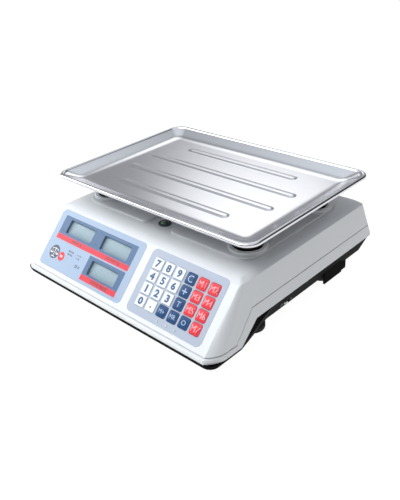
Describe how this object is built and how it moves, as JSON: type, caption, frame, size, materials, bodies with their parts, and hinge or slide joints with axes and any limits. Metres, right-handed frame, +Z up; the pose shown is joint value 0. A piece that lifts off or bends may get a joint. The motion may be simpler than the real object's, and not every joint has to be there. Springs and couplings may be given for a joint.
{
  "type": "price computing scale",
  "caption": "Counter-top price-computing scale with a sloping console of display windows and keys, a lift-off stainless tray on rubber posts, and screw levelling feet.",
  "frame": {"origin": "on the counter, below the middle of the scale's overall outline", "axes": "+X to the operator's right, +Y from the operator towards the customer, +Z up"},
  "size_m": [0.3466, 0.3214, 0.1295],
  "materials": {
    "case_white": "fine moulded texture, satin",
    "base_black": "moulded, slightly rough",
    "tray_steel": "stainless, finely brushed, rolled rim polished",
    "die_cast_aluminium": "as cast and machined",
    "bolt_steel": "zinc plated",
    "rubber_black": "matt",
    "overlay_blue": "printed film, satin",
    "overlay_lilac": "printed film, satin",
    "circuit_green": "solder mask",
    "lcd_grey": "display glass over a grey-green cell",
    "display_dark": "tinted window over three display cells",
    "light_white": "polished",
    "level_green": "clear vial with green fluid",
    "battery_grey": "moulded",
    "key_white": "satin, printed figures",
    "key_navy": "satin, printed figures",
    "key_red": "satin, printed figures"
  },
  "bodies": {
    "case": {"upper_housing": "case_white", "base_tray": "base_black", "load_cell": "die_cast_aluminium", "load_cell_bolt_1": "bolt_steel", "load_cell_bolt_2": "bolt_steel", "display_overlay": "overlay_blue", "keypad_overlay": "overlay_lilac", "keypad_board": "circuit_green", "indicator_lights": "light_white", "lcd_weight": "lcd_grey", "lcd_unit_price": "lcd_grey", "lcd_total_price": "lcd_grey", "customer_display": "display_dark", "main_board": "circuit_green", "battery": "battery_grey", "power_inlet": "base_black", "power_switch_body": "base_black", "bubble_level": "level_green"},
    "platform": {"platform_spider": "die_cast_aluminium", "tray_pad_1": "rubber_black", "tray_pad_2": "rubber_black", "tray_pad_3": "rubber_black", "tray_pad_4": "rubber_black", "load_cell_bolt_3": "bolt_steel", "load_cell_bolt_4": "bolt_steel"},
    "tray": {"weighing_tray": "tray_steel"},
    "switch_knob": {"power_switch_knob": "light_white"},
    "hatch": {"battery_cover": "base_black"},
    "stud_1": {"foot_stud_1": "bolt_steel"},
    "pad_1": {"foot_pad_1": "rubber_black"},
    "stud_2": {"foot_stud_2": "bolt_steel"},
    "pad_2": {"foot_pad_2": "rubber_black"},
    "stud_3": {"foot_stud_3": "bolt_steel"},
    "pad_3": {"foot_pad_3": "rubber_black"},
    "stud_4": {"foot_stud_4": "bolt_steel"},
    "pad_4": {"foot_pad_4": "rubber_black"},
    "button_7": {"key_7": "key_white"},
    "button_8": {"key_8": "key_white"},
    "button_9": {"key_9": "key_white"},
    "button_clear": {"key_clear": "key_navy"},
    "button_m1": {"key_m1": "key_red"},
    "button_m2": {"key_m2": "key_red"},
    "button_4": {"key_4": "key_white"},
    "button_5": {"key_5": "key_white"},
    "button_6": {"key_6": "key_white"},
    "button_add": {"key_add": "key_navy"},
    "button_m3": {"key_m3": "key_red"},
    "button_m4": {"key_m4": "key_red"},
    "button_1": {"key_1": "key_white"},
    "button_2": {"key_2": "key_white"},
    "button_3": {"key_3": "key_white"},
    "button_tare": {"key_tare": "key_navy"},
    "button_m5": {"key_m5": "key_red"},
    "button_m6": {"key_m6": "key_red"},
    "button_0": {"key_0": "key_white"},
    "button_point": {"key_point": "key_white"},
    "button_save": {"key_save": "key_navy"},
    "button_recall": {"key_recall": "key_navy"},
    "button_zero": {"key_zero": "key_navy"},
    "button_m7": {"key_m7": "key_red"}
  },
  "joints": [
    {"name": "tray_lift", "type": "slide", "parent": "platform", "child": "tray", "axis": [0, 0, 1], "range_m": [0, 0.06]},
    {"name": "platform_sink", "type": "slide", "parent": "case", "child": "platform", "axis": [0, 0, -1], "range_m": [0, 0.0005], "stiffness_N_per_m": 200000, "springref_m": -0.0002},
    {"name": "power_slide", "type": "slide", "parent": "case", "child": "switch_knob", "axis": [0, 1, 0], "range_m": [0, 0.004]},
    {"name": "hatch_release", "type": "slide", "parent": "case", "child": "hatch", "axis": [0, 0, -1], "range_m": [0, 0.02]},
    {"name": "foot_1_turn", "type": "hinge", "parent": "stud_1", "child": "pad_1", "pos_m": [-0.143, -0.0585, 0.003], "axis": [0, 0, 1], "range_deg": [-1441, 721]},
    {"name": "foot_2_turn", "type": "hinge", "parent": "stud_2", "child": "pad_2", "pos_m": [-0.143, 0.084, 0.003], "axis": [0, 0, 1], "range_deg": [-1441, 721]},
    {"name": "foot_3_turn", "type": "hinge", "parent": "stud_3", "child": "pad_3", "pos_m": [0.143, -0.0585, 0.003], "axis": [0, 0, 1], "range_deg": [-1441, 721]},
    {"name": "foot_4_turn", "type": "hinge", "parent": "stud_4", "child": "pad_4", "pos_m": [0.143, 0.084, 0.003], "axis": [0, 0, 1], "range_deg": [-1441, 721]},
    {"name": "foot_1_rise", "type": "slide", "parent": "case", "child": "stud_1", "axis": [0, 0, 1], "range_m": [-0.005, 0.0025]},
    {"name": "foot_2_rise", "type": "slide", "parent": "case", "child": "stud_2", "axis": [0, 0, 1], "range_m": [-0.005, 0.0025]},
    {"name": "foot_3_rise", "type": "slide", "parent": "case", "child": "stud_3", "axis": [0, 0, 1], "range_m": [-0.005, 0.0025]},
    {"name": "foot_4_rise", "type": "slide", "parent": "case", "child": "stud_4", "axis": [0, 0, 1], "range_m": [-0.005, 0.0025]},
    {"name": "press_7", "type": "slide", "parent": "case", "child": "button_7", "axis": [0, 0.7145, -0.6997], "range_m": [0, 0.001], "stiffness_N_per_m": 600, "springref_m": -0.001},
    {"name": "press_8", "type": "slide", "parent": "case", "child": "button_8", "axis": [0, 0.7145, -0.6997], "range_m": [0, 0.001], "stiffness_N_per_m": 600, "springref_m": -0.001},
    {"name": "press_9", "type": "slide", "parent": "case", "child": "button_9", "axis": [0, 0.7145, -0.6997], "range_m": [0, 0.001], "stiffness_N_per_m": 600, "springref_m": -0.001},
    {"name": "press_clear", "type": "slide", "parent": "case", "child": "button_clear", "axis": [0, 0.7145, -0.6997], "range_m": [0, 0.001], "stiffness_N_per_m": 600, "springref_m": -0.001},
    {"name": "press_m1", "type": "slide", "parent": "case", "child": "button_m1", "axis": [0, 0.7145, -0.6997], "range_m": [0, 0.001], "stiffness_N_per_m": 600, "springref_m": -0.001},
    {"name": "press_m2", "type": "slide", "parent": "case", "child": "button_m2", "axis": [0, 0.7145, -0.6997], "range_m": [0, 0.001], "stiffness_N_per_m": 600, "springref_m": -0.001},
    {"name": "press_4", "type": "slide", "parent": "case", "child": "button_4", "axis": [0, 0.7145, -0.6997], "range_m": [0, 0.001], "stiffness_N_per_m": 600, "springref_m": -0.001},
    {"name": "press_5", "type": "slide", "parent": "case", "child": "button_5", "axis": [0, 0.7145, -0.6997], "range_m": [0, 0.001], "stiffness_N_per_m": 600, "springref_m": -0.001},
    {"name": "press_6", "type": "slide", "parent": "case", "child": "button_6", "axis": [0, 0.7145, -0.6997], "range_m": [0, 0.001], "stiffness_N_per_m": 600, "springref_m": -0.001},
    {"name": "press_add", "type": "slide", "parent": "case", "child": "button_add", "axis": [0, 0.7145, -0.6997], "range_m": [0, 0.001], "stiffness_N_per_m": 600, "springref_m": -0.001},
    {"name": "press_m3", "type": "slide", "parent": "case", "child": "button_m3", "axis": [0, 0.7145, -0.6997], "range_m": [0, 0.001], "stiffness_N_per_m": 600, "springref_m": -0.001},
    {"name": "press_m4", "type": "slide", "parent": "case", "child": "button_m4", "axis": [0, 0.7145, -0.6997], "range_m": [0, 0.001], "stiffness_N_per_m": 600, "springref_m": -0.001},
    {"name": "press_1", "type": "slide", "parent": "case", "child": "button_1", "axis": [0, 0.7145, -0.6997], "range_m": [0, 0.001], "stiffness_N_per_m": 600, "springref_m": -0.001},
    {"name": "press_2", "type": "slide", "parent": "case", "child": "button_2", "axis": [0, 0.7145, -0.6997], "range_m": [0, 0.001], "stiffness_N_per_m": 600, "springref_m": -0.001},
    {"name": "press_3", "type": "slide", "parent": "case", "child": "button_3", "axis": [0, 0.7145, -0.6997], "range_m": [0, 0.001], "stiffness_N_per_m": 600, "springref_m": -0.001},
    {"name": "press_tare", "type": "slide", "parent": "case", "child": "button_tare", "axis": [0, 0.7145, -0.6997], "range_m": [0, 0.001], "stiffness_N_per_m": 600, "springref_m": -0.001},
    {"name": "press_m5", "type": "slide", "parent": "case", "child": "button_m5", "axis": [0, 0.7145, -0.6997], "range_m": [0, 0.001], "stiffness_N_per_m": 600, "springref_m": -0.001},
    {"name": "press_m6", "type": "slide", "parent": "case", "child": "button_m6", "axis": [0, 0.7145, -0.6997], "range_m": [0, 0.001], "stiffness_N_per_m": 600, "springref_m": -0.001},
    {"name": "press_0", "type": "slide", "parent": "case", "child": "button_0", "axis": [0, 0.7145, -0.6997], "range_m": [0, 0.001], "stiffness_N_per_m": 600, "springref_m": -0.001},
    {"name": "press_point", "type": "slide", "parent": "case", "child": "button_point", "axis": [0, 0.7145, -0.6997], "range_m": [0, 0.001], "stiffness_N_per_m": 600, "springref_m": -0.001},
    {"name": "press_save", "type": "slide", "parent": "case", "child": "button_save", "axis": [0, 0.7145, -0.6997], "range_m": [0, 0.001], "stiffness_N_per_m": 600, "springref_m": -0.001},
    {"name": "press_recall", "type": "slide", "parent": "case", "child": "button_recall", "axis": [0, 0.7145, -0.6997], "range_m": [0, 0.001], "stiffness_N_per_m": 600, "springref_m": -0.001},
    {"name": "press_zero", "type": "slide", "parent": "case", "child": "button_zero", "axis": [0, 0.7145, -0.6997], "range_m": [0, 0.001], "stiffness_N_per_m": 600, "springref_m": -0.001},
    {"name": "press_m7", "type": "slide", "parent": "case", "child": "button_m7", "axis": [0, 0.7145, -0.6997], "range_m": [0, 0.001], "stiffness_N_per_m": 600, "springref_m": -0.001}
  ],
  "couplings": [
    {"joint": "foot_1_turn", "follows": "foot_1_rise", "rad_per_m": 5026.5},
    {"joint": "foot_2_turn", "follows": "foot_2_rise", "rad_per_m": 5026.5},
    {"joint": "foot_3_turn", "follows": "foot_3_rise", "rad_per_m": 5026.5},
    {"joint": "foot_4_turn", "follows": "foot_4_rise", "rad_per_m": 5026.5}
  ]
}
